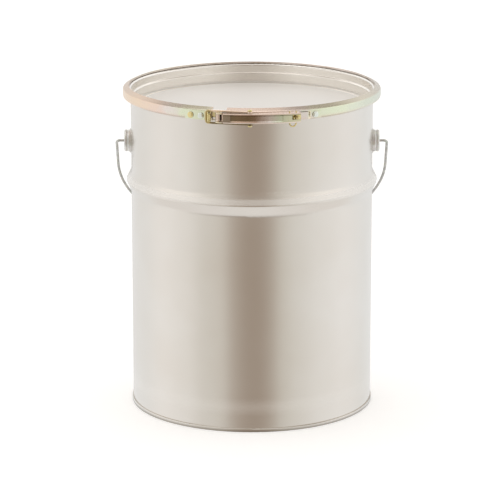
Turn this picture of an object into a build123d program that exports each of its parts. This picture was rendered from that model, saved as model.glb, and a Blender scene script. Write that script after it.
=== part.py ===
from build123d import *

import math
import os

# Open-head steel pail of about 30 litres with a recessed lid, a lever-lock clamp ring and a wire
# bail. Millimetres. The origin is on the can's axis in the plane it stands on, +Z is up, the
# closing lever is at the front (-Y) and the bail's ears are at +X and -X.

# ---------------------------------------------------------------- driving sizes
HEIGHT = 426.0  # floor to the top of the clamp ring
BODY_R = 158.5  # outer radius of the straight wall
SHEET = 0.5  # body and bottom sheet
RING_R = 168.5  # outer radius of the clamp ring
SEAM_GAP = 0.05  # between the layers of the bottom seam

# rolled hoop on the wall
HOOP_Z = 300.5
HOOP_HALF = 14.0
HOOP_OUT = 6.5  # where its two slopes would meet
HOOP_CREST = 4.0
HOOP_ROOT = 12.0

# curl round the mouth
CURL_R = 3.25
CURL_Z = 414.3
CURL_SWEEP = 300.0

# bottom double seam
SEAM_TOP = 5.0
PANEL_Z = 7.25
HOOK_TOP = 4.1
HOOK_BEND = 0.5
END_HOOK_TIP = 1.9
END_BENDS = [2.5, 0.6, 0.6, 0.45, 0.45]

# lid
LID_SHEET = 0.6
LID_PANEL_Z = 398.7
LID_CHANNEL = 5.4  # width of the stiffening channel round the panel
LID_CHANNEL_SLOPE = 1.4
LID_CHANNEL_Z = 396.4
LID_LOW_R = 155.2
LID_HIGH_R = 157.4
LID_STEP_Z = 411.2
LID_STEP_RISE = 1.2
LID_RIM_Z = 422.6
LID_SKIRT_R = 166.15
LID_SKIRT_Z = 415.4
LID_BENDS = [1.2, 0.9, 1.6, 0.9, 0.9, 2.0, 2.0]
GASKET_IN = 158.2
GASKET_OUT = 165.4
GASKET_LOW = 418.1
GASKET_TOP_ROUND = 2.0
GASKET_LOW_ROUND = 0.6

# clamp ring, a hoop of C section with sloping legs
RING_SHEET = 1.2
RING_Z = 417.3
RING_FACE = 4.85
RING_LEG_END = 8.15
RING_LIP_R = 160.6
RING_BEND = 2.0
SPLIT_LEFT = -17.5  # the hoop's two ends, degrees round from the front towards +X
SPLIT_RIGHT = -11.0

# closure
CLOSURE_Z = 415.8
RIVET_R = 2.0
RIVET_HEAD_R = 4.0
RIVET_HEAD = 2.4
CROWN = 0.8  # rounding of a head, as a share of its height
CATCH_SHEET = 1.4
CATCH_HALF = 5.2
CATCH_START = -29.5
CATCH_RIVETS = (-26.9, -22.2)
CATCH_WALL_X = -55.2
CATCH_FOLD = 3.2
CATCH_FOLD_BEND = 1.55
CATCH_TOP_Y = -170.5
STRAP_SHEET = 1.5
STRAP_HALF = 4.5
STRAP_RUN_R = 171.75
STRAP_END = 31.0
STRAP_STEP = (25.4, 24.2)
STRAP_RIVET = 28.0
PIVOT_R = 174.5
PIVOT_ANGLE = -13.85
PIVOT_PIN_R = 1.75
PIVOT_PIN_FLARE = 0.8
BARREL_R = 3.5
RUNNING_FIT = 0.05

# lever
LEVER_SHEET = 1.2
LEVER_HALF = 6.2
LEVER_R = 181.0
LEVER_IN_R = 171.5
LEVER_EYE_R = 4.0
LEVER_EDGE = 1.0
WEB_START = -11.5
LEVER_END = 19.8
GROOVE_HALF = 4.4
GROOVE_FLOOR_HALF = 3.1
GROOVE_DEPTH = 1.3
GROOVE_SKIN = 0.5  # how much wider the groove's back is than the groove, on each side
GROOVE_SPAN = (-8.5, 12.5)

# link
LINK_PIN_R = 1.6
LINK_PIN_AT = (176.2, -0.8)  # radius, degrees round from the front
LINK_BAR_AT = (173.5, -19.35)
LINK_WIRE_R = 1.25
LINK_HALF = 7.8
LINK_BEND = 3.0
LINK_EYE_R = 3.5
LINK_EYE_THICK = 2.2
LINK_HEAD_R = 2.8
LINK_HEAD = 1.9
LINK_HEAD_GAP = 0.15

# U-shaped safety pin and the lug that one of its legs passes
SAFETY_R = 0.95
SAFETY_AT_R = 176.2
SAFETY_LEGS = (15.55, 18.3)  # degrees round from the front
SAFETY_TOP = 8.2  # above the middle of the closure
SAFETY_LOW = -7.4
SAFETY_FIT = 0.08
LUG_HALF_Z = 1.1
LUG_X = (51.9, 59.4)
LUG_ROOT_Y = -160.0
LUG_TIP_Y = -175.2
LUG_ROUND = 2.0
LUG_SLOT_X = (53.8, 57.0)
LUG_SLOT_Y = -164.9
NOTCH_START_X = 50.6
NOTCH_Z = (-2.1, 3.6)
LUG_FOOT_HALF = 3.4
LUG_FOOT_SHEET = 1.0
LUG_FOOT = (16.4, 20.8)

# bail and its ears
EAR_Z = 350.5
EAR_OUT = 8.8
EAR_R = 14.5
EAR_FLANGE_R = 16.2
EAR_SHEET = 1.0
EAR_BEND = 1.6
EAR_BEAD_OUT = 4.5
EAR_BEAD_HALF = 1.5
EAR_BEAD_DEPTH = 1.0
EAR_BEAD_BEND = 0.7
EAR_EMBED = 2.6  # how far the blank reaches behind the wall's outermost line
BAIL_R = 1.8
BAIL_HALF = 177.5
BAIL_LEG = 54.0
BAIL_BEND = 5.0
BAIL_END = 162.0
BAIL_HEAD_R = 3.2
BAIL_HEAD = 2.8
BAIL_REST_GAP = 0.35

os.makedirs("parts", exist_ok=True)


# ---------------------------------------------------------------- helpers
def front_point(radius, angle):
    """A point at a radius and an angle in degrees round from the front (-Y) towards +X."""
    turn = math.radians(angle)
    return (radius * math.sin(turn), -radius * math.cos(turn))


def radial_plane(angle):
    """The upright plane through the can's axis at an angle round from the front."""
    x, y = front_point(1.0, angle)
    return Plane(origin=(0, 0, 0), x_dir=(x, y, 0), z_dir=(y, -x, 0))


def facing_plane(radius, angle, z):
    """A plane that faces outwards from the can at a radius, an angle and a height."""
    x, y = front_point(1.0, angle)
    return Plane(origin=(radius * x, radius * y, z), x_dir=(-y, x, 0), z_dir=(x, y, 0))


def arc_round(radius, start, end):
    """An arc about the can's axis between two angles round from the front."""
    return CenterArc((0, 0), radius, start - 90, end - start)


def ring_band(inner, outer, start, end):
    """Sketch of a flat ring segment about the can's axis."""
    with BuildSketch() as band:
        with BuildLine():
            low = arc_round(inner, start, end)
            high = arc_round(outer, start, end)
            Line(low @ 0, high @ 0)
            Line(low @ 1, high @ 1)
        make_face()
    return band.sketch


def finish_part(part, name):
    """Label a part and write its STEP file."""
    part.label = name
    export_step(part, f"parts/{name}.step")


# ---------------------------------------------------------------- can
WALL_MID = BODY_R - SHEET / 2

# The wall: a hook at the foot for the seam, the rolled hoop, and a curl turned outwards.
with BuildPart() as body_shell:
    hook_mid = BODY_R + 2 * SEAM_GAP + SHEET * 1.5
    foot_z = SHEET * 1.5 + 2 * SEAM_GAP
    with BuildSketch(Plane.XZ):
        with BuildLine():
            FilletPolyline(
                (hook_mid, HOOK_TOP),
                (hook_mid, foot_z),
                (WALL_MID, foot_z),
                (WALL_MID, HOOP_Z - HOOP_HALF),
                (WALL_MID + HOOP_OUT, HOOP_Z),
                (WALL_MID, HOOP_Z + HOOP_HALF),
                (WALL_MID, CURL_Z),
                radius=[HOOK_BEND, HOOK_BEND, HOOP_ROOT, HOOP_CREST, HOOP_ROOT],
            )
            CenterArc((WALL_MID + CURL_R, CURL_Z), CURL_R, 180, -CURL_SWEEP)
        trace(line_width=SHEET)
    revolve(axis=Axis.Z)
finish_part(body_shell.part, "body_shell")

# The bottom: a raised panel whose edge is rolled round the wall's foot as a double seam.
with BuildPart() as bottom_end:
    chuck_mid = BODY_R - SHEET * 1.5 - SEAM_GAP
    seam_mid = BODY_R + SHEET * 2.5 + 3 * SEAM_GAP
    tuck_mid = BODY_R + SHEET / 2 + SEAM_GAP
    with BuildSketch(Plane.XZ):
        with BuildLine():
            FilletPolyline(
                (0, PANEL_Z),
                (chuck_mid, PANEL_Z),
                (chuck_mid, SHEET / 2),
                (seam_mid, SHEET / 2),
                (seam_mid, SEAM_TOP - SHEET / 2),
                (tuck_mid, SEAM_TOP - SHEET / 2),
                (tuck_mid, END_HOOK_TIP),
                radius=END_BENDS,
            )
        trace(line_width=SHEET)
    revolve(axis=Axis.Z)
finish_part(bottom_end.part, "bottom_end")

# Sealing compound in the head of the seam, above the wall's hook.
with BuildPart() as seam_compound:
    seal_low = HOOK_TOP + SEAM_GAP
    seal_high = SEAM_TOP - SHEET - SEAM_GAP
    seal_in = hook_mid - SHEET / 2 + SEAM_GAP
    seal_out = hook_mid + SHEET / 2 - SEAM_GAP
    with BuildSketch(Plane.XY.offset(seal_low)):
        Circle(seal_out)
        Circle(seal_in, mode=Mode.SUBTRACT)
    extrude(amount=seal_high - seal_low)
finish_part(seam_compound.part, "seam_compound")


def bail_ear(side):
    """A drawn cup with a bead round it, on a curved flange welded to the wall at side +1 or -1."""
    face = Plane(origin=(0, 0, EAR_Z), x_dir=(0, side, 0), z_dir=(side, 0, 0))
    rim_x = side * (BODY_R - EAR_EMBED)
    bead_x = side * (BODY_R + EAR_BEAD_OUT)
    dome_x = side * (BODY_R + EAR_OUT - EAR_SHEET / 2)
    cup_mid = EAR_R - EAR_SHEET / 2
    with BuildPart() as ear:
        with BuildSketch(face.offset(BODY_R - EAR_EMBED)):
            Circle(EAR_FLANGE_R)
        extrude(amount=2 * EAR_EMBED)
        with Locations((0, 0, EAR_Z)):
            Cylinder(BODY_R + EAR_SHEET, 4 * EAR_FLANGE_R, mode=Mode.INTERSECT)
        with BuildSketch(face.offset(BODY_R - EAR_EMBED)):
            Circle(EAR_R - EAR_SHEET)
        extrude(amount=2 * EAR_EMBED, mode=Mode.SUBTRACT)
        with BuildSketch(Plane.XZ):
            with BuildLine():
                FilletPolyline(
                    (rim_x, EAR_Z + cup_mid),
                    (bead_x - side * EAR_BEAD_HALF, EAR_Z + cup_mid),
                    (bead_x, EAR_Z + cup_mid - EAR_BEAD_DEPTH),
                    (bead_x + side * EAR_BEAD_HALF, EAR_Z + cup_mid),
                    (dome_x, EAR_Z + cup_mid),
                    (dome_x, EAR_Z + BAIL_R + RUNNING_FIT),
                    radius=[EAR_BEAD_BEND, EAR_BEAD_BEND, EAR_BEAD_BEND, EAR_BEND],
                )
            trace(line_width=EAR_SHEET)
        revolve(axis=Axis((0, 0, EAR_Z), (1, 0, 0)))
        with Locations((0, 0, EAR_Z)):
            Cylinder(BODY_R, 4 * EAR_FLANGE_R, mode=Mode.SUBTRACT)
    return ear.part


finish_part(bail_ear(1), "ear_right")
finish_part(bail_ear(-1), "ear_left")

# ---------------------------------------------------------------- bail
# A wire bow that lies against the back wall at rest. Its ends turn into the ears and are upset
# into heads that keep them there.
bail_reach = BAIL_LEG + BAIL_HALF
bail_lean = math.asin((BODY_R + BAIL_R + BAIL_REST_GAP) / bail_reach)
bail_plane = Plane(
    origin=(0, 0, EAR_Z), x_dir=(1, 0, 0), z_dir=(0, math.cos(bail_lean), math.sin(bail_lean))
)
with BuildPart() as bail_wire:
    with BuildLine(bail_plane):
        FilletPolyline(
            (-BAIL_END, 0), (-BAIL_HALF, 0), (-BAIL_HALF, BAIL_LEG), radius=BAIL_BEND
        )
        CenterArc((0, BAIL_LEG), BAIL_HALF, 180, -180)
        FilletPolyline((BAIL_HALF, BAIL_LEG), (BAIL_HALF, 0), (BAIL_END, 0), radius=BAIL_BEND)
    with BuildSketch(Plane(origin=(-BAIL_END, 0, EAR_Z), z_dir=(-1, 0, 0))):
        Circle(BAIL_R)
    sweep()
    for side in (-1, 1):
        head_plane = Plane(origin=(side * BAIL_END, 0, EAR_Z), z_dir=(side, 0, 0))
        with BuildSketch(head_plane):
            Circle(BAIL_HEAD_R)
        extrude(amount=BAIL_HEAD)
finish_part(bail_wire.part, "bail_wire")

# ---------------------------------------------------------------- lid
with BuildPart() as lid:
    channel_in = LID_LOW_R - LID_CHANNEL + LID_CHANNEL_SLOPE
    with BuildSketch(Plane.XZ):
        with BuildLine():
            FilletPolyline(
                (0, LID_PANEL_Z),
                (channel_in - LID_CHANNEL_SLOPE, LID_PANEL_Z),
                (channel_in, LID_CHANNEL_Z),
                (LID_LOW_R, LID_CHANNEL_Z),
                (LID_LOW_R, LID_STEP_Z),
                (LID_HIGH_R, LID_STEP_Z + LID_STEP_RISE),
                (LID_HIGH_R, LID_RIM_Z),
                (LID_SKIRT_R, LID_RIM_Z),
                (LID_SKIRT_R, LID_SKIRT_Z),
                radius=LID_BENDS,
            )
        trace(line_width=LID_SHEET)
    revolve(axis=Axis.Z)
finish_part(lid.part, "lid")

# A soft ring in the channel under the lid's rim.
with BuildPart() as lid_gasket:
    gasket_high = LID_RIM_Z - LID_SHEET / 2 - SEAM_GAP
    with BuildSketch(Plane.XY.offset(GASKET_LOW)):
        Circle(GASKET_OUT)
        Circle(GASKET_IN, mode=Mode.SUBTRACT)
    extrude(amount=gasket_high - GASKET_LOW)
    top_edges = lid_gasket.edges().group_by(Axis.Z)[-1]
    fillet(top_edges, radius=GASKET_TOP_ROUND)
    low_edges = lid_gasket.edges().group_by(Axis.Z)[0]
    fillet(low_edges, radius=GASKET_LOW_ROUND)
finish_part(lid_gasket.part, "lid_gasket")


# ---------------------------------------------------------------- clamp ring
def rivet_holes(angles):
    """Cut a rivet hole through the ring wall at each angle."""
    for angle in angles:
        with Locations(facing_plane(RING_R, angle, CLOSURE_Z)):
            Cylinder(RIVET_R, 4 * RIVET_R, mode=Mode.SUBTRACT)


def rivet(angle, seat_r):
    """A round-headed rivet through the ring wall, its head seated at radius seat_r."""
    with BuildPart() as one:
        with BuildSketch(facing_plane(RING_R - RING_SHEET, angle, CLOSURE_Z)):
            Circle(RIVET_R)
        extrude(amount=seat_r - RING_R + RING_SHEET)
        with BuildSketch(facing_plane(seat_r, angle, CLOSURE_Z)):
            Circle(RIVET_HEAD_R)
        extrude(amount=RIVET_HEAD)
        outward = front_point(1.0, angle)
        crown = one.faces().sort_by(Axis((0, 0, 0), (*outward, 0)))[-1]
        fillet(crown.edges(), radius=RIVET_HEAD * CROWN)
    return one.part


with BuildPart() as clamp_ring:
    with BuildSketch(radial_plane(SPLIT_RIGHT)):
        with BuildLine():
            FilletPolyline(
                (RING_LIP_R, RING_Z + RING_LEG_END),
                (RING_R - RING_SHEET / 2, RING_Z + RING_FACE),
                (RING_R - RING_SHEET / 2, RING_Z - RING_FACE),
                (RING_LIP_R, RING_Z - RING_LEG_END),
                radius=RING_BEND,
            )
        trace(line_width=RING_SHEET)
    revolve(axis=Axis.Z, revolution_arc=360 - (SPLIT_RIGHT - SPLIT_LEFT))
    rivet_holes((*CATCH_RIVETS, STRAP_RIVET))
finish_part(clamp_ring.part, "clamp_ring")

# The catch: a plate on the ring's left end, folded up into a wall that the link pulls on.
with BuildPart() as catch:
    catch_out = RING_R + CATCH_SHEET
    catch_mid = RING_R + CATCH_SHEET / 2
    wall_x = CATCH_WALL_X
    back_x = CATCH_WALL_X + CATCH_FOLD
    plate_end = math.degrees(math.asin(back_x / catch_mid))
    fold_plane = Plane.XY.offset(CLOSURE_Z - CATCH_HALF)
    with BuildSketch(fold_plane):
        add(ring_band(RING_R, catch_out, CATCH_START, plate_end))
    extrude(amount=2 * CATCH_HALF)
    with BuildSketch(fold_plane):
        with BuildLine():
            FilletPolyline(
                (wall_x, -math.sqrt(catch_mid**2 - wall_x**2)),
                (wall_x, CATCH_TOP_Y),
                (back_x, CATCH_TOP_Y),
                (back_x, -math.sqrt(catch_mid**2 - back_x**2)),
                radius=CATCH_FOLD_BEND,
            )
        trace(line_width=CATCH_SHEET)
    extrude(amount=2 * CATCH_HALF)
    with Locations((0, 0, CLOSURE_Z)):
        Cylinder(RING_R, 4 * CATCH_HALF, mode=Mode.SUBTRACT)
    rivet_holes(CATCH_RIVETS)
finish_part(catch.part, "catch")

catch_rivets = Compound(children=[rivet(angle, catch_out) for angle in CATCH_RIVETS])
finish_part(catch_rivets, "catch_rivets")

# The strap: riveted flat to the ring's right end, it steps off it and runs behind the lever to
# a barrel curled round the lever's pivot pin.
pivot_xy = front_point(PIVOT_R, PIVOT_ANGLE)
with BuildPart() as lever_strap:
    flat_mid = RING_R + STRAP_SHEET / 2
    with BuildSketch(Plane.XY.offset(CLOSURE_Z - STRAP_HALF)):
        with BuildLine():
            flat_run = arc_round(flat_mid, STRAP_END, STRAP_STEP[0])
            long_run = arc_round(STRAP_RUN_R, STRAP_STEP[1], PIVOT_ANGLE)
            Line(flat_run @ 1, long_run @ 0)
        trace(line_width=STRAP_SHEET)
        with Locations(pivot_xy):
            Circle(BARREL_R)
            Circle(PIVOT_PIN_R + RUNNING_FIT, mode=Mode.SUBTRACT)
    extrude(amount=2 * STRAP_HALF)
    rivet_holes((STRAP_RIVET,))
finish_part(lever_strap.part, "lever_strap")

finish_part(rivet(STRAP_RIVET, RING_R + STRAP_SHEET), "strap_rivet")


def upright_pin(centre, radius, half):
    """The shank of an upright pin of the closure; half is from its middle to an end."""
    with BuildPart() as pin:
        with BuildSketch(Plane.XY.offset(CLOSURE_Z - half)):
            with Locations(centre):
                Circle(radius)
        extrude(amount=2 * half)
    return pin.part


def pin_flares(centre, grow):
    """The two countersinks of the pivot pin's ends, each grown by a clearance."""
    flare_r = PIVOT_PIN_R + PIVOT_PIN_FLARE + grow
    with BuildPart() as flares:
        for side in (-1, 1):
            with Locations(Location((*centre, CLOSURE_Z + side * LEVER_HALF), (90 - 90 * side, 0, 0))):
                Cone(
                    PIVOT_PIN_R + grow,
                    flare_r,
                    PIVOT_PIN_FLARE,
                    align=(Align.CENTER, Align.CENTER, Align.MAX),
                )
    return flares.part


# Pin of the lever's hinge, spread at its ends so that they lie flush with the lever's flanges and
# the link passes over them.
with BuildPart() as lever_pivot_pin:
    add(upright_pin(pivot_xy, PIVOT_PIN_R, LEVER_HALF))
    add(pin_flares(pivot_xy, 0.0))
finish_part(lever_pivot_pin.part, "lever_pivot_pin")

# The lug: a forked tongue on the strap that comes out through the notch in the lever's end. Its
# slot is open outwards, so the lever can carry the safety pin out of it.
with BuildPart() as lock_lug:
    strap_out = STRAP_RUN_R + STRAP_SHEET / 2
    slot_length = abs(LUG_TIP_Y)
    with BuildSketch(Plane.XY.offset(CLOSURE_Z - LUG_FOOT_HALF)):
        add(ring_band(strap_out, strap_out + LUG_FOOT_SHEET, *LUG_FOOT))
    extrude(amount=2 * LUG_FOOT_HALF)
    with BuildSketch(Plane.XY.offset(CLOSURE_Z - LUG_HALF_Z)):
        with Locations(((LUG_X[0] + LUG_X[1]) / 2, (LUG_TIP_Y + LUG_ROOT_Y) / 2)):
            RectangleRounded(LUG_X[1] - LUG_X[0], LUG_ROOT_Y - LUG_TIP_Y, LUG_ROUND)
        with Locations(((LUG_SLOT_X[0] + LUG_SLOT_X[1]) / 2, LUG_SLOT_Y - slot_length / 2)):
            Rectangle(LUG_SLOT_X[1] - LUG_SLOT_X[0], slot_length, mode=Mode.SUBTRACT)
    extrude(amount=2 * LUG_HALF_Z)
    with Locations((0, 0, CLOSURE_Z)):
        Cylinder(strap_out, 4 * LUG_FOOT_HALF, mode=Mode.SUBTRACT)
finish_part(lock_lug.part, "lock_lug")

# ---------------------------------------------------------------- lever
link_pin_xy = front_point(*LINK_PIN_AT)
safety_xy = [front_point(SAFETY_AT_R, angle) for angle in SAFETY_LEGS]


def web_trough(outer_r, grow):
    """A trough with sloping sides, run along the lever's web; grow widens it on each side."""
    top = GROOVE_HALF + grow
    floor = GROOVE_FLOOR_HALF + grow
    floor_r = outer_r - GROOVE_DEPTH
    with BuildPart() as trough:
        with BuildSketch(radial_plane(GROOVE_SPAN[0])):
            with BuildLine():
                Polyline(
                    (outer_r, CLOSURE_Z - top),
                    (floor_r, CLOSURE_Z - floor),
                    (floor_r, CLOSURE_Z + floor),
                    (outer_r, CLOSURE_Z + top),
                    close=True,
                )
            make_face()
        revolve(axis=Axis.Z, revolution_arc=GROOVE_SPAN[1] - GROOVE_SPAN[0])
    return trough.part


with BuildPart() as lever:
    low_z = CLOSURE_Z - LEVER_HALF
    web_in = LEVER_R - LEVER_SHEET
    # two flanges with round ends about the pivot, running a little into the web
    for flange_z in (low_z, CLOSURE_Z + LEVER_HALF - LEVER_SHEET):
        with BuildSketch(Plane.XY.offset(flange_z)):
            add(ring_band(LEVER_IN_R, web_in, PIVOT_ANGLE, LEVER_END))
            add(ring_band((web_in + LEVER_IN_R) / 2, LEVER_R, WEB_START, LEVER_END))
            with Locations(pivot_xy):
                Circle(LEVER_EYE_R)
        extrude(amount=LEVER_SHEET)
    # the web across them, with a groove pressed along it
    with BuildSketch(Plane.XY.offset(low_z)):
        add(ring_band(web_in, LEVER_R, WEB_START, LEVER_END))
    extrude(amount=2 * LEVER_HALF)
    rim = lever.edges().filter_by(GeomType.CIRCLE)
    rim = rim.filter_by(lambda edge: abs(edge.radius - LEVER_R) < RUNNING_FIT)
    fillet(rim, radius=LEVER_EDGE)
    add(web_trough(web_in, GROOVE_SKIN))
    add(web_trough(LEVER_R, 0.0), mode=Mode.SUBTRACT)
    # holes for the pins, and the notch for the lug
    with BuildSketch(Plane.XY.offset(low_z - LEVER_SHEET)):
        with Locations(pivot_xy):
            Circle(PIVOT_PIN_R + RUNNING_FIT)
        with Locations(link_pin_xy):
            Circle(LINK_PIN_R + RUNNING_FIT)
        with Locations(*safety_xy):
            Circle(SAFETY_R + SAFETY_FIT)
    extrude(amount=2 * (LEVER_HALF + LEVER_SHEET), mode=Mode.SUBTRACT)
    add(pin_flares(pivot_xy, RUNNING_FIT), mode=Mode.SUBTRACT)
    notch_low = CLOSURE_Z + NOTCH_Z[0]
    with BuildSketch(Plane.XY.offset(notch_low)):
        with Locations((NOTCH_START_X + LEVER_R / 2, -LEVER_R)):
            Rectangle(LEVER_R, 4 * (LEVER_R - LEVER_IN_R))
    extrude(amount=NOTCH_Z[1] - NOTCH_Z[0], mode=Mode.SUBTRACT)
finish_part(lever.part, "lever")

# Pin of the link, with a domed head at each end.
with BuildPart() as link_pin:
    link_pin_half = LINK_HALF + LINK_WIRE_R + LINK_HEAD_GAP
    add(upright_pin(link_pin_xy, LINK_PIN_R, link_pin_half))
    for side in (-1, 1):
        with BuildSketch(Plane.XY.offset(CLOSURE_Z + side * link_pin_half)):
            with Locations(link_pin_xy):
                Circle(LINK_HEAD_R)
        extrude(amount=side * LINK_HEAD)
        head_face = link_pin.faces().sort_by(Axis.Z)[-1 if side > 0 else 0]
        fillet(head_face.edges(), radius=LINK_HEAD * CROWN)
finish_part(link_pin.part, "link_pin")

# ---------------------------------------------------------------- link
# A wire stirrup with an eye at each end on the link pin. Its closed end lies behind the catch.
link_bar_xy = front_point(*LINK_BAR_AT)
link_vector = Vector(*link_bar_xy) - Vector(*link_pin_xy)
link_length = link_vector.length
link_plane = Plane(
    origin=(*link_pin_xy, CLOSURE_Z),
    x_dir=link_vector.normalized(),
    z_dir=link_vector.normalized().cross(Vector(0, 0, 1)),
)
with BuildPart() as link_wire:
    with BuildLine(link_plane):
        FilletPolyline(
            (0, LINK_HALF),
            (link_length, LINK_HALF),
            (link_length, -LINK_HALF),
            (0, -LINK_HALF),
            radius=LINK_BEND,
        )
    wire_start = Vector(*link_pin_xy, CLOSURE_Z + LINK_HALF)
    with BuildSketch(Plane(origin=wire_start, z_dir=link_vector.normalized())):
        Circle(LINK_WIRE_R)
    sweep()
    for side in (-1, 1):
        with Locations((*link_pin_xy, CLOSURE_Z + side * LINK_HALF)):
            Cylinder(LINK_EYE_R, LINK_EYE_THICK)
    with Locations((*link_pin_xy, CLOSURE_Z)):
        Cylinder(LINK_PIN_R + RUNNING_FIT, 4 * LINK_HALF, mode=Mode.SUBTRACT)
finish_part(link_wire.part, "link_wire")

# ---------------------------------------------------------------- safety pin
# A wire bent to a U, pushed up through both of the lever's flanges; its right leg passes the lug.
left_leg = Vector(*safety_xy[0], CLOSURE_Z)
right_leg = Vector(*safety_xy[1], CLOSURE_Z)
across_legs = right_leg - left_leg
safety_plane = Plane(
    origin=(left_leg + right_leg) / 2,
    x_dir=across_legs.normalized(),
    z_dir=across_legs.normalized().cross(Vector(0, 0, 1)),
)
with BuildPart() as safety_pin:
    half_span = across_legs.length / 2
    with BuildLine(safety_plane):
        Line((-half_span, SAFETY_TOP), (-half_span, SAFETY_LOW))
        CenterArc((0, SAFETY_LOW), half_span, 180, 180)
        Line((half_span, SAFETY_LOW), (half_span, SAFETY_TOP))
    with BuildSketch(Plane(origin=(*safety_xy[0], CLOSURE_Z + SAFETY_TOP), z_dir=(0, 0, -1))):
        Circle(SAFETY_R)
    sweep()
    tips = safety_pin.faces().sort_by(Axis.Z)[-2:]
    fillet(tips.edges(), radius=SAFETY_R / 2)
finish_part(safety_pin.part, "safety_pin")
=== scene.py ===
import math

import bmesh
import bpy
from mathutils import Matrix, Vector


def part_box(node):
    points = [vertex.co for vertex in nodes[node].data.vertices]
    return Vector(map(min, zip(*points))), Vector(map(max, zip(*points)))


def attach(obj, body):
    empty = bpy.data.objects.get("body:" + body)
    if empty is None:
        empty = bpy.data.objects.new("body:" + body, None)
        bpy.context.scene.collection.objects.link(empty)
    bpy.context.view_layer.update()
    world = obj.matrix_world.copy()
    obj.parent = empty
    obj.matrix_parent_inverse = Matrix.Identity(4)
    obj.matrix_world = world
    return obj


# Open-head steel pail with a lever-lock clamp ring. Metres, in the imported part's frame: the can
# stands on Z = 0 round the Z axis, and the closing lever faces -Y.

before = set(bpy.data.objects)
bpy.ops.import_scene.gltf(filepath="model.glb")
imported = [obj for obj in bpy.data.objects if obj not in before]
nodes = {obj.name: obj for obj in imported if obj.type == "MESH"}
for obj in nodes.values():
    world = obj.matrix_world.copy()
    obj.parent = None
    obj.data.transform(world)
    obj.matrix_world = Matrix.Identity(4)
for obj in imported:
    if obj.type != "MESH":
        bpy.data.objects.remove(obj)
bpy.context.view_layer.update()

# ---------------------------------------------------------------- places in the frame
def middle_height(node):
    low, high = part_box(node)
    return (low.z + high.z) / 2


RING_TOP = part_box("clamp_ring")[1].z
CLOSURE_Z = middle_height("lever")
EAR_Z = middle_height("ear_right")
WALL_R = 0.1585  # outer radius of the straight wall
WALL_FOOT = 0.0055  # top of the bottom seam
HOOP_Z = 0.3005
HOOP_HALF = 0.014
LID_PANEL_Z = 0.3990  # upper face of the lid's flat panel

# ---------------------------------------------------------------- where the tints change
# A pair gives the place where a tint begins and the place where it is full, unless its comment
# says otherwise. The pale bands round the wall have a pair for their lower edge, a pair for
# their upper edge, and how matt they are. The first lies over the hoop's upper half; the second,
# near the foot, is a painted reflection of the floor.
PALE_BANDS = (
    ((HOOP_Z, HOOP_Z + 0.0014), (HOOP_Z + 0.0088, HOOP_Z + 0.0064), 0.45),
    # near the foot: a faint painted reflection of the floor
    ((0.021, 0.031), (0.045, 0.035), 0.16),
)
SEAM_SHADE_Z = (0.0042, 0.0016)  # painted contact shade darkens the bottom seam below these heights
LID_WALL_RISE = (0.0005, 0.0025)  # above the lid's panel
LID_CHANNEL_RISE = (-0.0003, -0.0010)  # above the lid's panel
LID_SHEEN_X = (0.015, 0.060)  # painted sheen, on both sides of the lid's middle
RING_SHADE_DROP = (0.0042, 0.0028)  # painted shade on the upper slope, below the ring's top
RING_EDGE_DROP = (0.0105, 0.0150)  # below the ring's top
RING_SHADE_TURN = (12.0, 22.0)  # painted shade on the upper slope, degrees round from the front, on both sides
LEVER_X = (-0.05, 0.07)  # the two ends of the lever's scale of tones
GROOVE_SHADE_RISE = ((0.0029, 0.0032), (0.0046, 0.0043))  # painted shade along the groove's upper side: lower and upper edge, above CLOSURE_Z
LEVER_HIGHLIGHT_RISE = (0.0046, 0.0052)  # painted highlights on the bent edges, above and below CLOSURE_Z
LEVER_HIGHLIGHT_TONE_RISE = (-0.003, 0.003)  # from the lower bent edge's painted highlight to the upper one's
# The link's painted shadow on the lever's flanges:
LINK_SHADOW_R = (0.1802, 0.1797)
LINK_SHADOW_X = (0.012, -0.004)
LEVER_HINGE_X = (-0.0370, -0.0385)
LINK_SHADE_RISE = (0.0, -0.006)  # painted shade on the lower leg, above CLOSURE_Z
LINK_END_X = (-0.050, -0.054)
CATCH_FOLD_X = (-0.0600, -0.0585)
RIVET_X = (-0.085, 0.085)  # the two ends of the rivets' scale of tones
# The painted contact shadow round the rivets' heads:
RIVET_SHADOW_R = (0.1709, 0.1704)
STRAP_HIGHLIGHT_X = ((0.0708, 0.0714), (0.0742, 0.0736))  # painted highlight where the strap steps off the ring: left and right edge
ROLLED = (30.0, 1500.0, 1500.0)  # how finely a sheet's rolling lines vary along and across them

# ---------------------------------------------------------------- colours, linear RGB
TIN = (0.775, 0.740, 0.695)
TIN_WARM = (0.745, 0.700, 0.645)
TIN_MATT = (0.88, 0.86, 0.83)
TIN_SHEEN = (0.99, 0.96, 0.91)
TIN_SHADE = (0.30, 0.27, 0.23)
ZINC_GREY = (0.68, 0.68, 0.66)
ZINC_DULL = (0.50, 0.50, 0.48)
ZINC_PALE = (0.84, 0.84, 0.82)
ZINC_MIST = (0.70, 0.70, 0.68)
PEACH = (0.89, 0.71, 0.55)
PINK = (0.82, 0.66, 0.57)
BLUSH = (0.80, 0.73, 0.69)
LIME = (0.78, 0.82, 0.63)
PALE_LIME = (0.74, 0.77, 0.64)
SAGE = (0.68, 0.69, 0.60)
GOLD = (0.82, 0.70, 0.36)
OLIVE_GOLD = (0.48, 0.41, 0.17)
UMBER = (0.20, 0.15, 0.07)
BRONZE = (0.45, 0.32, 0.245)
COPPER = (0.62, 0.44, 0.34)
TAUPE = (0.36, 0.29, 0.22)
FAWN_SHADE = (0.50, 0.39, 0.32)
BRASS = (0.62, 0.52, 0.29)
SHELL_HIGHLIGHT = (0.98, 0.85, 0.77)
HEM_BROWN = (0.52, 0.44, 0.37)
LEAF_GREY = (0.66, 0.70, 0.54)
STRAW = (0.72, 0.68, 0.48)
FROST = (0.80, 0.84, 0.78)
CREAM = (0.95, 0.86, 0.66)
RUBBER = (0.018, 0.018, 0.019)
PUTTY = (0.32, 0.28, 0.22)


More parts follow.
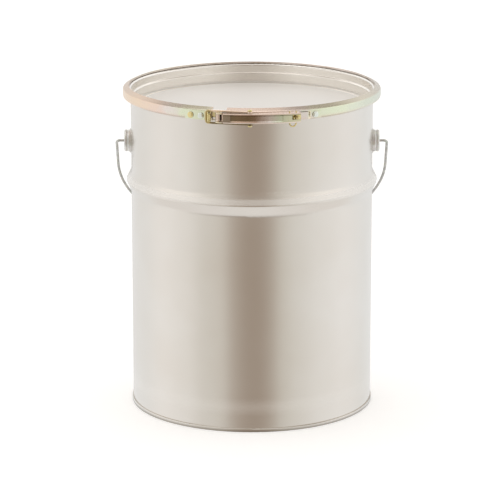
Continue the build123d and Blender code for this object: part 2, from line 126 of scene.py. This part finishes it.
# ---------------------------------------------------------------- node helpers
class Tree:
    """The node tree of a material or a world, with short calls for the nodes used here."""

    def __init__(self, owner):
        owner.use_nodes = True
        self.owner = owner
        self.nodes = owner.node_tree.nodes
        self.links = owner.node_tree.links

    def add(self, kind, inputs=(), **settings):
        """A node with settings; inputs are (socket, value or output socket) pairs."""
        node = self.nodes.new(kind)
        for key, value in settings.items():
            setattr(node, key, value)
        for socket, value in inputs:
            if isinstance(value, bpy.types.NodeSocket):
                self.links.new(value, node.inputs[socket])
            else:
                node.inputs[socket].default_value = value
        return node

    def math(self, operation, a, b=0.0, c=0.0):
        inputs = [(0, a), (1, b), (2, c)]
        return self.add("ShaderNodeMath", inputs, operation=operation).outputs[0]

    def place(self):
        """The point in the can's frame."""
        return self.add("ShaderNodeTexCoord").outputs["Object"]

    def split(self, vector):
        return self.add("ShaderNodeSeparateXYZ", [(0, vector)]).outputs

    def join(self, x, y, z):
        return self.add("ShaderNodeCombineXYZ", [(0, x), (1, y), (2, z)]).outputs[0]

    def stretched(self, vector, scale):
        return self.add("ShaderNodeMapping", [("Vector", vector), ("Scale", scale)]).outputs[0]

    def noise(self, vector, scale, detail=2.0, roughness=0.5, distortion=0.0):
        inputs = [("Vector", vector), ("Scale", scale), ("Detail", detail)]
        inputs += [("Roughness", roughness), ("Distortion", distortion)]
        return self.add("ShaderNodeTexNoise", inputs).outputs["Fac"]

    def remap(self, value, low, high, to_low=0.0, to_high=1.0):
        inputs = [("Value", value), ("From Min", low), ("From Max", high)]
        inputs += [("To Min", to_low), ("To Max", to_high)]
        return self.add("ShaderNodeMapRange", inputs).outputs[0]

    def mix(self, factor, a, b, blend="MIX"):
        inputs = [("Factor", factor)]
        node = self.add("ShaderNodeMix", inputs, data_type="RGBA", blend_type=blend)
        for socket, value in ((6, a), (7, b)):
            if isinstance(value, bpy.types.NodeSocket):
                self.links.new(value, node.inputs[socket])
            else:
                node.inputs[socket].default_value = (*value, 1.0)
        return node.outputs[2]

    def band(self, value, begins, ends):
        """1 between two places and 0 outside them, fading in and out as the pairs say."""
        return self.math("MINIMUM", self.remap(value, *begins), self.remap(value, *ends))

    def tinge(self, where, share, colour, tone):
        """Part of a tone laid over a colour."""
        return self.mix(self.math("MULTIPLY", where, share), colour, tone)

    def ramp(self, factor, stops, interpolation="LINEAR"):
        """Colour stops are (position, linear RGB) pairs."""
        node = self.add("ShaderNodeValToRGB", [("Fac", factor)])
        node.color_ramp.interpolation = interpolation
        elements = node.color_ramp.elements
        while len(elements) < len(stops):
            elements.new(0.5)
        for element, (position, colour) in zip(elements, stops):
            element.position = position
            element.color = (*colour, 1.0)
        return node.outputs["Color"]

    def bump(self, height, strength, distance, under=None):
        inputs = [("Height", height), ("Strength", strength), ("Distance", distance)]
        if under is not None:
            inputs.append(("Normal", under))
        return self.add("ShaderNodeBump", inputs).outputs["Normal"]

    def turn(self, point):
        """Degrees round from the front towards +X, from -180 to 180."""
        front = self.math("MULTIPLY", point[1], -1.0)
        return self.math("MULTIPLY", self.math("ARCTAN2", point[0], front), 180 / math.pi)

    def radius(self, point):
        """Distance from the can's axis."""
        square = self.math("MULTIPLY", point[0], point[0])
        return self.math("SQRT", self.math("MULTIPLY_ADD", point[1], point[1], square))

    def wrap(self, point, radius):
        """The surface unrolled: distance round the can, nothing, and height."""
        round_it = self.math("MULTIPLY", self.turn(point), radius * math.pi / 180)
        return self.join(round_it, 0.0, point[2])

    def shade(self, **inputs):
        """Gives the material's shader these inputs and returns the material. An input's name is
        in small letters, with low lines for spaces."""
        shader = self.nodes["Principled BSDF"]
        sockets = {socket.name.lower().replace(" ", "_"): socket for socket in shader.inputs}
        for name, value in inputs.items():
            if isinstance(value, bpy.types.NodeSocket):
                self.links.new(value, sockets[name])
            else:
                sockets[name].default_value = value
        return self.owner

    def metal(self, colour, roughness, normal, metallic=1.0):
        return self.shade(base_color=colour, roughness=roughness, normal=normal, metallic=metallic)


def new_tree(name):
    """The node tree of a new material."""
    return Tree(bpy.data.materials.new(name))


# ---------------------------------------------------------------- materials
def tin_sheet(name, flat):
    """Satin tinplate: rolling grain round the wall or across a flat sheet, and faint mottling.
    The wall has paler, matt bands: one over the hoop's upper half, and a faint one near the foot
    which is a painted reflection of the floor. Painted contact shade darkens the bottom's seam."""
    tree = new_tree(name)
    place = tree.place()
    point = tree.split(place)
    sheet = place if flat else tree.wrap(point, WALL_R)
    grain = tree.noise(tree.stretched(sheet, ROLLED), 1.0, 3.0)
    cloud = tree.noise(place, 9.0, 3.0, 0.55)
    speck = tree.noise(place, 900.0, 2.0, 0.6)
    colour = tree.mix(tree.remap(cloud, 0.35, 0.7), TIN, TIN_WARM)
    worn = tree.remap(speck, 0.66, 0.76, 0.0, 0.12)
    colour = tree.mix(worn, colour, ZINC_GREY)
    roughness = tree.remap(grain, 0.3, 0.7, 0.238, 0.262)
    height = tree.math("ADD", grain, tree.math("MULTIPLY", speck, 0.5))
    normal = tree.bump(height, 0.02, 0.0001)
    if flat:
        # Painted contact shade darkens the seam's lower edge.
        colour = tree.tinge(tree.remap(point[2], *SEAM_SHADE_Z), 0.75, colour, TIN_SHADE)
        return tree.metal(colour, roughness, normal)
    # Paler, matt bands: one over the hoop's upper half, and near the foot a painted reflection of
    # the floor.
    pale_matt = 0.0
    for begins, ends, share in PALE_BANDS:
        pale_matt = tree.math("MULTIPLY_ADD", tree.band(point[2], begins, ends), share, pale_matt)
    colour = tree.mix(pale_matt, colour, TIN_MATT)
    return tree.metal(colour, roughness, normal, tree.math("SUBTRACT", 1.0, pale_matt))


def lid_sheet(name):
    """The lid's tinplate: a matt, evenly pale panel inside a burnished pressed wall and rim, which
    a painted sheen makes brighter towards the sides."""
    tree = new_tree(name)
    place = tree.place()
    point = tree.split(place)
    grain = tree.noise(tree.stretched(place, ROLLED), 1.0, 3.0)
    cloud = tree.noise(place, 9.0, 3.0, 0.55)
    above = tree.math("SUBTRACT", point[2], LID_PANEL_Z)
    wall = tree.remap(above, *LID_WALL_RISE)
    channel = tree.remap(above, *LID_CHANNEL_RISE)
    pressed = tree.math("MAXIMUM", wall, channel)
    bright = tree.mix(tree.remap(cloud, 0.35, 0.7), TIN, TIN_WARM)
    sheen_side = tree.remap(tree.math("ABSOLUTE", point[0]), *LID_SHEEN_X)
    # Painted sheen brightens the pressed wall and rim towards the sides.
    bright = tree.tinge(sheen_side, 0.8, bright, TIN_SHEEN)
    matt = tree.mix(tree.remap(cloud, 0.35, 0.7, 0.0, 0.12), TIN_MATT, TIN)
    uneven = tree.remap(grain, 0.3, 0.7, -0.02, 0.02)
    roughness = tree.math("ADD", tree.remap(pressed, 0.0, 1.0, 0.42, 0.24), uneven)
    colour = tree.mix(pressed, matt, bright)
    metallic = tree.remap(pressed, 0.0, 1.0, 0.12, 0.92)
    return tree.metal(colour, roughness, tree.bump(grain, 0.02, 0.0001), metallic)


def galvanised(name, light, dark):
    """Dull hot-dip zinc with a soft spangle."""
    tree = new_tree(name)
    place = tree.place()
    inputs = [("Vector", place), ("Scale", 420.0), ("Randomness", 1.0)]
    cells = tree.add("ShaderNodeTexVoronoi", inputs).outputs["Color"]
    shade = tree.noise(place, 160.0, 3.0)
    colour = tree.mix(tree.remap(shade, 0.3, 0.7), light, dark)
    colour = tree.mix(0.12, colour, cells, "SOFT_LIGHT")
    roughness = tree.remap(shade, 0.3, 0.7, 0.34, 0.48)
    grit = tree.noise(place, 1400.0, 2.0)
    return tree.metal(colour, roughness, tree.bump(grit, 0.12, 0.0001))


def passivated(name, colour_of, roughness=0.27, film_scale=55.0):
    """Yellow-passivated zinc. colour_of(tree, point, film) gives its tint at a place; film is a
    slow noise that stands for the film's uneven thickness."""
    tree = new_tree(name)
    place = tree.place()
    point = tree.split(place)
    film = tree.noise(place, film_scale, 3.0, 0.55, 0.4)
    tint = colour_of(tree, point, film)
    stain = tree.noise(place, 700.0, 3.0, 0.6)
    colour = tree.mix(tree.remap(stain, 0.55, 0.8, 0.0, 0.14), tint, OLIVE_GOLD)
    rough = tree.remap(stain, 0.3, 0.75, roughness - 0.04, roughness + 0.07)
    grain = tree.noise(place, 1800.0, 2.0)
    return tree.metal(colour, rough, tree.bump(grain, 0.04, 0.0001))


def ring_tint(tree, point, film):
    """Peach on the left, pink, blush and lime towards the catch, pink behind the lever, lime and
    sage on the right and blush at the back. A painted shade browns the upper slope, except
    behind the lever, and the lower edge is pinkish."""
    turn = tree.math("ADD", tree.turn(point), tree.remap(film, 0.2, 0.8, -7.0, 7.0))
    slot = tree.remap(turn, -180.0, 180.0)
    tones = (
        (-180, BLUSH), (-120, PALE_LIME), (-92, PEACH), (-58, PEACH), (-46, PINK), (-38, BLUSH),
        (-31, LIME), (-20, LIME), (-12, PINK), (12, PINK), (24, BLUSH), (31, LIME), (42, LIME),
        (52, PALE_LIME), (85, SAGE), (130, BLUSH), (180, BLUSH),
    )
    along = tree.ramp(slot, [((angle + 180) / 360, tone) for angle, tone in tones])
    drop = tree.math("SUBTRACT", RING_TOP, point[2])
    # Painted shade browns the upper slope, except behind the lever.
    slope = tree.math(
        "MULTIPLY", tree.remap(drop, *RING_SHADE_DROP),
        tree.remap(tree.math("ABSOLUTE", turn), *RING_SHADE_TURN),
    )
    along = tree.tinge(slope, 0.55, along, FAWN_SHADE)
    return tree.tinge(tree.remap(drop, *RING_EDGE_DROP), 0.5, along, PINK)


def lever_tint(tree, point, film):
    """From the hinge to the free end: cream, taupe, copper, bronze, blush, grey-green and straw.
    The bent edges are pinkish painted highlights. Painted shade darkens the upper side of the
    groove, and a painted shadow of the link darkens the flanges beside it."""
    across = tree.math("ADD", point[0], tree.remap(film, 0.2, 0.8, -0.004, 0.004))
    slot = tree.remap(across, *LEVER_X)
    tones = (
        (0.0, OLIVE_GOLD), (0.12, TAUPE), (0.18, TAUPE), (0.28, COPPER), (0.46, BRONZE),
        (0.60, BLUSH), (0.72, LEAF_GREY), (0.86, STRAW), (1.0, STRAW),
    )
    web = tree.ramp(slot, tones)
    above = tree.math("SUBTRACT", point[2], CLOSURE_Z)
    # Painted shade along the groove's upper side.
    web = tree.tinge(tree.band(above, *GROOVE_SHADE_RISE), 0.55, web, UMBER)
    # Painted highlights along the bent edges.
    edge = tree.mix(tree.remap(above, *LEVER_HIGHLIGHT_TONE_RISE), SHELL_HIGHLIGHT, PINK)
    colour = tree.mix(tree.remap(tree.math("ABSOLUTE", above), *LEVER_HIGHLIGHT_RISE), web, edge)
    # A painted shadow of the link darkens the flanges beside it.
    flange = tree.math(
        "MULTIPLY", tree.remap(tree.radius(point), *LINK_SHADOW_R),
        tree.remap(point[0], *LINK_SHADOW_X),
    )
    colour = tree.tinge(flange, 0.75, colour, UMBER)
    return tree.mix(tree.remap(point[0], *LEVER_HINGE_X), colour, CREAM)


def link_tint(tree, point, film):
    """Pinkish along the wire's upper leg, umber along the lower one, where painted shade stands for
    the lever's shadow, and brassy at its closed end."""
    legs = tree.mix(tree.remap(film, 0.3, 0.7), PINK, PEACH)
    above = tree.math("SUBTRACT", point[2], CLOSURE_Z)
    # Painted shade under the lever darkens the lower leg.
    legs = tree.tinge(tree.remap(above, *LINK_SHADE_RISE), 0.95, legs, UMBER)
    return tree.mix(tree.remap(point[0], *LINK_END_X), legs, BRASS)


def fitting_tint(tree, point, film):
    """Gold with umber patches."""
    return tree.ramp(film, ((0.0, UMBER), (0.40, UMBER), (0.47, GOLD), (0.58, GOLD), (0.68, STRAW)))


def catch_tint(tree, point, film):
    """Like the ring where it lies on it, and golden at the fold."""
    fold = tree.remap(point[0], *CATCH_FOLD_X)
    return tree.mix(fold, LIME, tree.mix(tree.remap(film, 0.42, 0.5), OLIVE_GOLD, GOLD))


def rivet_tint(tree, point, film):
    """Golden on the leftmost head, frosty on the others, with a painted contact shadow round
    the heads' feet.
    """
    slot = tree.remap(point[0], *RIVET_X)
    crown = tree.ramp(slot, ((0.0, GOLD), (0.075, GOLD), (0.10, FROST), (1.0, FROST)))
    # Painted contact shadow round the heads' feet.
    return tree.mix(tree.remap(tree.radius(point), *RIVET_SHADOW_R), crown, UMBER)


def hem_tint(tree, point, film):
    """Brown and blush, mixed by the film's noise, where the ring's edge is folded."""
    return tree.mix(tree.remap(film, 0.3, 0.7), HEM_BROWN, BLUSH)


def strap_tint(tree, point, film):
    """Like the ring, with a cream painted highlight where the strap steps off it."""
    # Painted highlight along the strap's step.
    step = tree.band(point[0], *STRAP_HIGHLIGHT_X)
    return tree.mix(step, ring_tint(tree, point, film), CREAM)


def soft_matter(name, colour, roughness):
    """Rubber or cured compound, with a fine grain."""
    tree = new_tree(name)
    place = tree.place()
    grain = tree.noise(place, 900.0, 3.0)
    lighter = tuple(min(1.0, 1.6 * channel) for channel in colour)
    mixed = tree.mix(tree.remap(grain, 0.4, 0.7, 0.0, 0.5), colour, lighter)
    rough = tree.remap(grain, 0.3, 0.7, roughness - 0.08, roughness + 0.08)
    return tree.shade(base_color=mixed, roughness=rough, normal=tree.bump(grain, 0.2, 0.0002))


def weld_metal(name):
    """The side seam's rolled weld, rippled, grey with a straw heat tint."""
    tree = new_tree(name)
    place = tree.place()
    ripple = tree.noise(tree.stretched(place, (200.0, 200.0, 1500.0)), 1.0, 2.0)
    colour = tree.mix(tree.remap(ripple, 0.35, 0.65), ZINC_GREY, STRAW)
    roughness = tree.remap(ripple, 0.3, 0.7, 0.30, 0.42)
    return tree.metal(colour, roughness, tree.bump(ripple, 0.35, 0.0002))


wall_tin = tin_sheet("wall_tin", flat=False)
lid_tin = lid_sheet("lid_tin")
end_tin = tin_sheet("end_tin", flat=True)
zinc_wire = galvanised("galvanised_wire", ZINC_GREY, ZINC_DULL)
zinc_pressing = galvanised("galvanised_pressing", ZINC_PALE, ZINC_MIST)
ring_zinc = passivated("ring_zinc", ring_tint)
lever_zinc = passivated("lever_zinc", lever_tint, 0.24)
link_zinc = passivated("link_zinc", link_tint, 0.22)
fitting_zinc = passivated("fitting_zinc", fitting_tint, 0.12, 420.0)
catch_zinc = passivated("catch_zinc", catch_tint, 0.14, 420.0)
strap_zinc = passivated("strap_zinc", strap_tint)
hem_zinc = passivated("hem_zinc", hem_tint)
rivet_zinc = passivated("rivet_zinc", rivet_tint, 0.10, 420.0)
weld = weld_metal("weld_metal")

FINISHES = {
    wall_tin: ("body_shell",),
    lid_tin: ("lid",),
    end_tin: ("bottom_end",),
    zinc_wire: ("bail_wire",),
    zinc_pressing: ("ear_left", "ear_right"),
    ring_zinc: ("clamp_ring",),
    strap_zinc: ("lever_strap",),
    lever_zinc: ("lever",),
    link_zinc: ("link_wire",),
    catch_zinc: ("catch",),
    rivet_zinc: ("catch_rivets", "strap_rivet"),
    fitting_zinc: ("lever_pivot_pin", "lock_lug", "link_pin", "safety_pin"),
    soft_matter("gasket_rubber", RUBBER, 0.55): ("lid_gasket",),
    soft_matter("seam_putty", PUTTY, 0.6): ("seam_compound",),
}
for finish, names in FINISHES.items():
    for name in names:
        for material_slot in nodes[name].material_slots:
            material_slot.link = "OBJECT"
            material_slot.material = finish


# ---------------------------------------------------------------- added pieces
def round_place(radius, turn, z):
    """A place at a distance from the can's axis, turned from the front towards +X."""
    return (radius * math.sin(turn), -radius * math.cos(turn), z)


def new_piece(name, build, finish, body):
    """An object of the built shape with its finish, riding on a CAD body. Its faces are smooth,
    apart from a flat end with many corners."""
    for face in build.faces:
        face.smooth = len(face.verts) <= 4
    mesh = bpy.data.meshes.new(name)
    build.to_mesh(mesh)
    build.free()
    mesh.materials.append(finish)
    piece = bpy.data.objects.new(name, mesh)
    bpy.context.collection.objects.link(piece)
    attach(piece, body)


SEAM_HALF = 0.0021
SEAM_PROUD = 0.00025
SEAM_SUNK = 0.00003  # how far the crown's long edges lie inside the wall
SEAM_FADE = 5  # rows at each end over which the crown comes up
SEAM_TURN = math.pi  # the weld runs up the back of the wall
SEAM_CLEAR = HOOP_HALF + 0.004  # the weld stops this far from the hoop's middle
SEAM_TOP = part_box("body_shell")[1].z - 0.014


def side_seam(name, low, high, rows=60, columns=6):
    """The rolled weld of the wall: a long shallow crown that is thickest along its middle and
    fades at both ends."""
    build = bmesh.new()
    grid = []
    for row in range(rows + 1):
        z = low + (high - low) * row / rows
        proud = SEAM_PROUD * min(1.0, row / SEAM_FADE, (rows - row) / SEAM_FADE)
        line = []
        for column in range(columns + 1):
            across = 2 * column / columns - 1
            radius = WALL_R - SEAM_SUNK + proud * (1 - across**2)
            turn = SEAM_TURN + across * SEAM_HALF / WALL_R
            line.append(build.verts.new(round_place(radius, turn, z)))
        grid.append(line)
    for lower, upper in zip(grid, grid[1:]):
        for left in range(columns):
            right = left + 1
            build.faces.new((lower[left], lower[right], upper[right], upper[left]))
    bmesh.ops.recalc_face_normals(build, faces=build.faces)
    new_piece(name, build, weld, "can")


side_seam("side_seam_low", WALL_FOOT, HOOP_Z - SEAM_CLEAR)
side_seam("side_seam_high", HOOP_Z + SEAM_CLEAR, SEAM_TOP)

HEM_R = 0.1609  # middle of the fold, from the can's axis
HEM_Z = 0.42415
HEM_HALF = 0.0009
HEM_FROM = math.radians(-10.9)  # one end of the ring, round from the front
HEM_TO = math.radians(342.4)  # the other end


def ring_hem(name, steps=240, sides=16):
    """The ring's inner edge, folded back under itself: a round bead that closes the gap down to
    the lid's rim."""
    build = bmesh.new()
    hoops = []
    for step in range(steps + 1):
        turn = HEM_FROM + (HEM_TO - HEM_FROM) * step / steps
        hoop = []
        for side in range(sides):
            lean = 2 * math.pi * side / sides
            radius = HEM_R + HEM_HALF * math.cos(lean)
            z = HEM_Z + HEM_HALF * math.sin(lean)
            hoop.append(build.verts.new(round_place(radius, turn, z)))
        hoops.append(hoop)
    for near, far in zip(hoops, hoops[1:]):
        for side in range(sides):
            after = (side + 1) % sides
            build.faces.new((near[side], near[after], far[after], far[side]))
    build.faces.new(hoops[0])
    build.faces.new(hoops[-1])
    bmesh.ops.recalc_face_normals(build, faces=build.faces)
    new_piece(name, build, hem_zinc, "ring")


ring_hem("ring_hem")

MARK_R = 0.0007
MARK_PROUD = 0.00035
EAR_FLANGE_R = WALL_R + 0.001  # outer face of an ear's flange
EAR_MARK_R = 0.0153  # circle of the weld marks on the flange


def ear_welds(name, side, count=8):
    """Spot-weld marks round an ear's flange."""
    build = bmesh.new()
    for index in range(count):
        angle = 2 * math.pi * (index + 0.5) / count
        y = EAR_MARK_R * math.cos(angle)
        z = EAR_Z + EAR_MARK_R * math.sin(angle)
        x = side * math.sqrt(EAR_FLANGE_R**2 - y**2)
        out = Vector((x, y, 0)).normalized()
        turn = Vector((0, 0, 1)).rotation_difference(out).to_matrix().to_4x4()
        flat = Matrix.Diagonal((MARK_R, MARK_R, MARK_PROUD, 1.0))
        where = Matrix.Translation((x, y, z)) @ turn @ flat
        bmesh.ops.create_uvsphere(build, u_segments=20, v_segments=10, radius=1.0, matrix=where)
    new_piece(name, build, zinc_pressing, "can")


ear_welds("ear_welds_right", 1)
ear_welds("ear_welds_left", -1)


# ---------------------------------------------------------------- studio
FLOOR_HALF = 7.0
FLOOR_CENTRE_Y = 2.0
FLOOR_PALE = (0.92, 0.92, 0.92)
FLOOR_DIM = (0.90, 0.90, 0.90)
FLOOR_GLOW = 0.36


def studio_floor():
    """A wide pale floor, slightly lit of its own so that it reads as white paper. Polished metal
    doesn't mirror it."""
    mesh = bpy.data.meshes.new("floor")
    build = bmesh.new()
    where = Matrix.Translation((0, FLOOR_CENTRE_Y, 0))
    bmesh.ops.create_grid(build, x_segments=8, y_segments=8, size=FLOOR_HALF, matrix=where)
    build.to_mesh(mesh)
    build.free()
    tree = new_tree("floor_paper")
    paper = tree.mix(tree.noise(tree.place(), 60.0, 3.0), FLOOR_PALE, FLOOR_DIM)
    material = tree.shade(
        base_color=paper, roughness=0.9, specular_ior_level=0.0,
        emission_color=(1.0, 1.0, 1.0, 1.0), emission_strength=FLOOR_GLOW,
    )
    mesh.materials.append(material)
    floor = bpy.data.objects.new("floor", mesh)
    bpy.context.collection.objects.link(floor)
    floor.visible_glossy = False


studio_floor()

# The studio's walls: bright all round but for a dim, warm stretch in front, which makes the dark
# band down the front of the can. Angles are degrees round from the front towards +X.
DIM = (0.43, 0.36, 0.30)
DUSK = (0.53, 0.47, 0.41)
SOFT = (0.78, 0.75, 0.70)
WALLS = (
    (-180, (0.93, 0.94, 0.95)), (-125, (0.95, 0.96, 0.96)), (-95, (1.03, 1.02, 1.01)),
    (-66, (0.96, 0.95, 0.93)), (-44, (0.81, 0.79, 0.75)), (-28, SOFT), (-17, DUSK), (-4, DIM),
    (9, DIM), (18, DUSK), (28, (0.76, 0.74, 0.69)), (45, (0.86, 0.85, 0.82)),
    (70, (0.96, 0.96, 0.95)), (98, (1.02, 1.02, 1.02)), (140, (0.94, 0.96, 0.97)),
    (180, (0.93, 0.94, 0.95)),
)
# Layers laid over the walls from some height on, up or down: the tone, how much of it, the sines
# of the elevations where it begins and is full, and the angles round from the front where it is
# full and where it ends. The upper wall is paler at the sides; above it are a grey cove and a
# white ceiling. Below are the dim edge of a table, at the front, and its pale top.
ALL_ROUND = (180.0, 190.0)
LAYERS = (
    ((1.32, 1.28, 1.23), 0.60, (0.30, 0.46), (80.0, 22.0)),
    ((0.45, 0.41, 0.37), 1.00, (0.58, 0.72), ALL_ROUND),
    ((1.12, 1.10, 1.07), 1.00, (0.84, 0.90), ALL_ROUND),
    ((0.36, 0.32, 0.28), 0.85, (-0.42, -0.48), (20.0, 75.0)),
    ((0.92, 0.90, 0.88), 1.00, (-0.56, -0.64), ALL_ROUND),
)


def studio_walls():
    world = bpy.data.worlds.new("studio")
    bpy.context.scene.world = world
    tree = Tree(world)
    where = tree.split(tree.add("ShaderNodeTexCoord").outputs["Generated"])
    turn = tree.turn(where)
    sideways = tree.math("ABSOLUTE", turn)
    stops = [((angle + 180) / 360, tone) for angle, tone in WALLS]
    sky = tree.ramp(tree.remap(turn, -180.0, 180.0), stops, "EASE")
    for tone, share, (begins, full), (whole, ends) in LAYERS:
        round_it = tree.remap(sideways, ends, whole, 0.0, share)
        sky = tree.mix(tree.remap(where[2], begins, full, 0.0, round_it), sky, tone)
    tree.links.new(sky, tree.nodes["Background"].inputs["Color"])


studio_walls()


def softbox(name, at, aim, width, height, power):
    light = bpy.data.lights.new(name, "AREA")
    light.shape = "RECTANGLE"
    light.size = width
    light.size_y = height
    light.energy = power
    lamp = bpy.data.objects.new(name, light)
    bpy.context.collection.objects.link(lamp)
    lamp.location = at
    lamp.rotation_mode = "QUATERNION"
    lamp.rotation_quaternion = (Vector(aim) - Vector(at)).to_track_quat("-Z", "Y")
    lamp.visible_camera = False


softbox("overhead", (-0.5, 0.3, 2.6), (0, 0, 0.3), 1.6, 1.6, 3.0)

# ---------------------------------------------------------------- camera
CAMERA_AT = Vector((0.0, -3.560, 1.108))
AIM = Vector((-0.0024, 0.0, 0.2019))
LENS = 199.4  # mm, on a 36 mm wide sensor

camera_data = bpy.data.cameras.new("camera")
camera_data.lens = LENS
camera_data.sensor_width = 36.0
camera = bpy.data.objects.new("camera", camera_data)
bpy.context.collection.objects.link(camera)
camera.location = CAMERA_AT
camera.rotation_mode = "QUATERNION"
camera.rotation_quaternion = (AIM - CAMERA_AT).to_track_quat("-Z", "Y")
bpy.context.scene.camera = camera
bpy.context.scene.view_settings.view_transform = "Standard"
